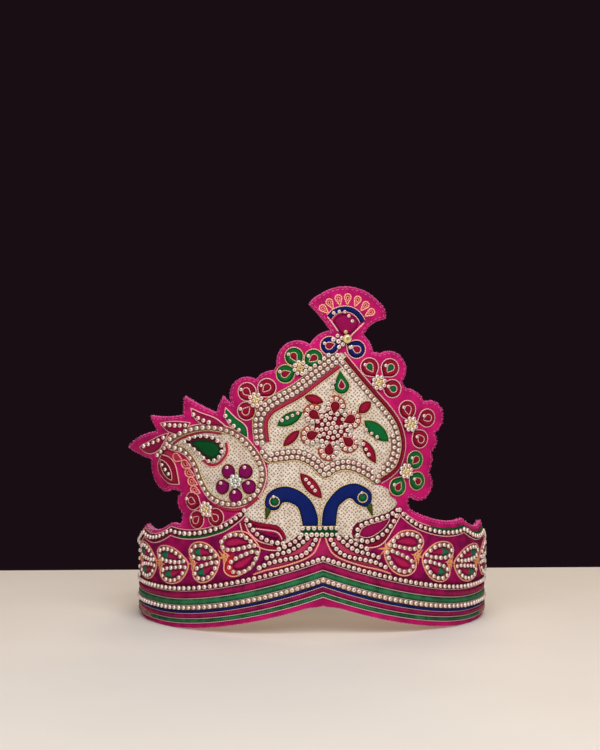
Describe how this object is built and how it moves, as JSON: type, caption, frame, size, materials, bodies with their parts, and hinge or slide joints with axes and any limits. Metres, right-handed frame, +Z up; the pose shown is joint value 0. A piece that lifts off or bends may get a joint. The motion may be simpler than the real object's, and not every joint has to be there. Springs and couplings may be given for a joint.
{
  "type": "mukut crown",
  "caption": "Open-topped standing crown of velvet-covered card with a scalloped band, a tall leaf-edged front panel, pearl rows and padded embroidered peacocks, paisley and flowers.",
  "frame": {"origin": "middle of the bounding box at the lower edge, on the surface that the crown stands on", "axes": "+Z up, the front panel faces -Y, +X to the right of someone facing the front"},
  "size_m": [0.1816, 0.1804, 0.1594],
  "materials": {
    "pink_velvet": "short-pile velvet",
    "magenta_velvet": "short-pile velvet",
    "magenta_satin": "satin stitch",
    "crimson_satin": "satin stitch over padding",
    "rose_satin": "satin stitch",
    "green_satin": "satin stitch over padding",
    "blue_satin": "satin stitch over padding",
    "copper_cord": "metallic thread cord",
    "cream_ground": "couched ground with dark dots",
    "pearl": "pearl lustre"
  },
  "bodies": {
    "root": {"crown_wall": "pink_velvet", "band_field_left": "magenta_velvet", "band_field_right": "magenta_velvet", "trim_band_lower": "magenta_satin", "trim_band_upper": "magenta_satin", "wing_leaf_1": "magenta_satin", "wing_leaf_2": "magenta_satin", "wing_leaf_3": "magenta_satin", "drop_left": "magenta_satin", "drop_right": "magenta_satin", "paisley_flower": "magenta_satin", "fan_shield": "magenta_satin", "dome_rib_left": "crimson_satin", "dome_rib_right": "crimson_satin", "leaf_red_upper_left": "crimson_satin", "leaf_red_upper_right": "crimson_satin", "leaf_red_lower_left": "crimson_satin", "leaf_red_lower_right": "crimson_satin", "almond_middle": "crimson_satin", "almond_side": "crimson_satin", "trefoil_left": "crimson_satin", "trefoil_upper_right": "crimson_satin", "trefoil_right": "crimson_satin", "trefoil_lower_left": "crimson_satin", "dome_flower": "crimson_satin", "rose_wing_left": "rose_satin", "rose_wing_right": "rose_satin", "peacock_beak_left": "green_satin", "peacock_beak_right": "green_satin", "leaf_green_left": "green_satin", "leaf_green_right": "green_satin", "wing_leaf_4": "green_satin", "dome_bud": "green_satin", "paisley_drop": "green_satin", "trefoil_upper_left": "green_satin", "trefoil_lower_right": "green_satin", "peacock_neck_left": "blue_satin", "peacock_neck_right": "blue_satin", "trefoil_top": "blue_satin", "fan_arc": "blue_satin", "heart_garland_left": "copper_cord", "heart_garland_right": "copper_cord", "dome_ground": "cream_ground", "peacock_ground": "cream_ground", "paisley_ground": "cream_ground", "pearls_row_low": "pearl", "pearls_row_mid": "pearl", "pearls_top_left": "pearl", "pearls_top_right": "pearl", "pearls_dome_left": "pearl", "pearls_dome_right": "pearl", "pearls_dome_floor": "pearl", "pearls_collar": "pearl", "pearls_wing_left": "pearl", "pearls_wing_right": "pearl", "pearls_paisley": "pearl"}
  },
  "joints": []
}
